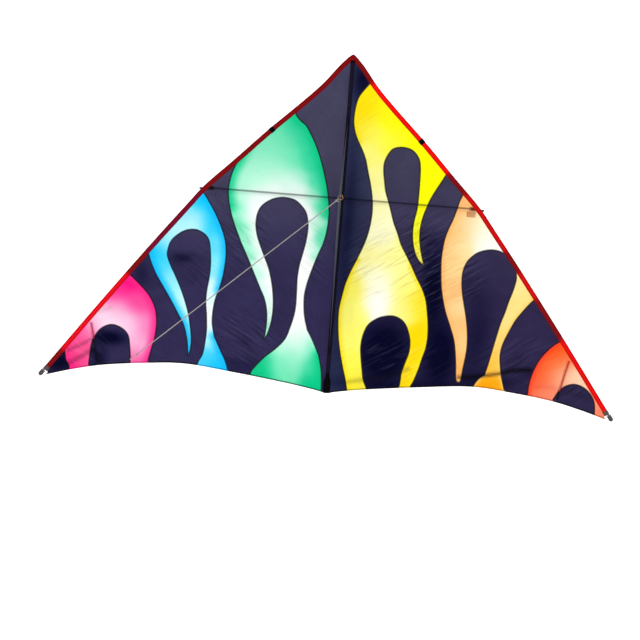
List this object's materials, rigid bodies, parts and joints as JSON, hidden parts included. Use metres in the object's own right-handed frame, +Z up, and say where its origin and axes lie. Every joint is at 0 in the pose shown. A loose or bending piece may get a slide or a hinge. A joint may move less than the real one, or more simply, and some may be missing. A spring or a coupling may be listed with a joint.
{
  "type": "delta kite",
  "caption": "Large single-line delta kite with a keel: dark ripstop wings with flame panels, red leading edges, spine, spars, spreader and a taut flying line.",
  "frame": {"origin": "the tow point: the centre of the eyelet at the tip of the keel", "axes": "+X along the span, to the right of somebody who looks at the kite's front (belly) side; +Y from the front side to the back; +Z up the spine, from tail to nose"},
  "size_m": [2.8172, 1.1203, 1.6774],
  "materials": {
    "sail_cloth": "ripstop nylon, satin",
    "edge_cloth": "ripstop nylon, satin",
    "black_tape": "woven tape, matt",
    "keel_cloth": "ripstop nylon, satin",
    "webbing": "woven webbing, matt",
    "glass_rod": "glass-fibre rod, satin",
    "ferrule": "drawn tube, bright",
    "vinyl": "moulded vinyl",
    "tip_cap": "moulded vinyl",
    "brass": "pressed, bright",
    "steel": "bright wire",
    "elastic": "braided shock cord",
    "line": "braided polyester"
  },
  "bodies": {
    "spine": {"spine_upper_rod": "glass_rod", "spine_lower_rod": "glass_rod", "spine_ferrule": "ferrule", "spine_top_cap": "vinyl", "spine_tail_cap": "vinyl", "spine_pocket": "sail_cloth", "nose_patch": "edge_cloth", "tail_pocket": "black_tape", "spreader_centre_tube": "vinyl"},
    "right_wing": {"right_leading_edge_sleeve": "edge_cloth", "right_spar_upper_rod": "glass_rod", "right_spar_lower_rod": "glass_rod", "right_spar_ferrule": "ferrule", "right_spar_top_cap": "vinyl", "right_spar_stop_band": "black_tape", "right_tip_webbing": "webbing", "right_tip_cap": "tip_cap", "right_tip_elastic": "elastic", "right_spreader_fitting": "vinyl", "right_spreader_rod": "glass_rod", "right_sail_panel": "sail_cloth", "right_trailing_edge_hem": "black_tape", "right_fitting_patch": "black_tape", "right_tip_batten": "glass_rod", "right_batten_pocket": "sail_cloth"},
    "left_wing": {"left_leading_edge_sleeve": "edge_cloth", "left_spar_upper_rod": "glass_rod", "left_spar_lower_rod": "glass_rod", "left_spar_ferrule": "ferrule", "left_spar_top_cap": "vinyl", "left_spar_stop_band": "black_tape", "left_tip_webbing": "webbing", "left_tip_cap": "tip_cap", "left_tip_elastic": "elastic", "left_spreader_fitting": "vinyl", "left_spreader_rod": "glass_rod", "left_sail_panel": "sail_cloth", "left_trailing_edge_hem": "black_tape", "left_fitting_patch": "black_tape", "left_tip_batten": "glass_rod", "left_batten_pocket": "sail_cloth"},
    "keel": {"keel_panel": "keel_cloth", "keel_binding": "keel_cloth", "tow_eyelet": "brass"},
    "tow_ring": {"tow_ring": "steel"},
    "line": {"line_hitch": "line", "tow_knot": "line", "flying_line": "line", "end_knot": "line", "end_loop": "line"}
  },
  "joints": [
    {"name": "right_wing_fold", "type": "hinge", "parent": "spine", "child": "right_wing", "pos_m": [0, 0.3, 0], "axis": [0, 0, 1], "range_deg": [-2, 50], "stiffness_Nm_per_rad": 4, "deforming": ["spreader_centre_tube"]},
    {"name": "left_wing_fold", "type": "hinge", "parent": "spine", "child": "left_wing", "pos_m": [0, 0.3, 0], "axis": [0, 0, -1], "range_deg": [-2, 50], "stiffness_Nm_per_rad": 4, "deforming": ["spreader_centre_tube"]},
    {"name": "keel_swing", "type": "hinge", "parent": "spine", "child": "keel", "pos_m": [0, 0.3, 0], "axis": [0, 0, 1], "range_deg": [-20, 45]},
    {"name": "ring_turn", "type": "hinge", "parent": "keel", "child": "tow_ring", "pos_m": [0, 0, 0], "axis": [0, 0, 1], "range_deg": [-3, 55]},
    {"name": "line_pitch", "type": "hinge", "parent": "tow_ring", "child": "line", "pos_m": [-0.01704, -0.01344, -0.01606], "axis": [0.7756, -0.4049, -0.4842], "range_deg": [-25, 30]}
  ]
}
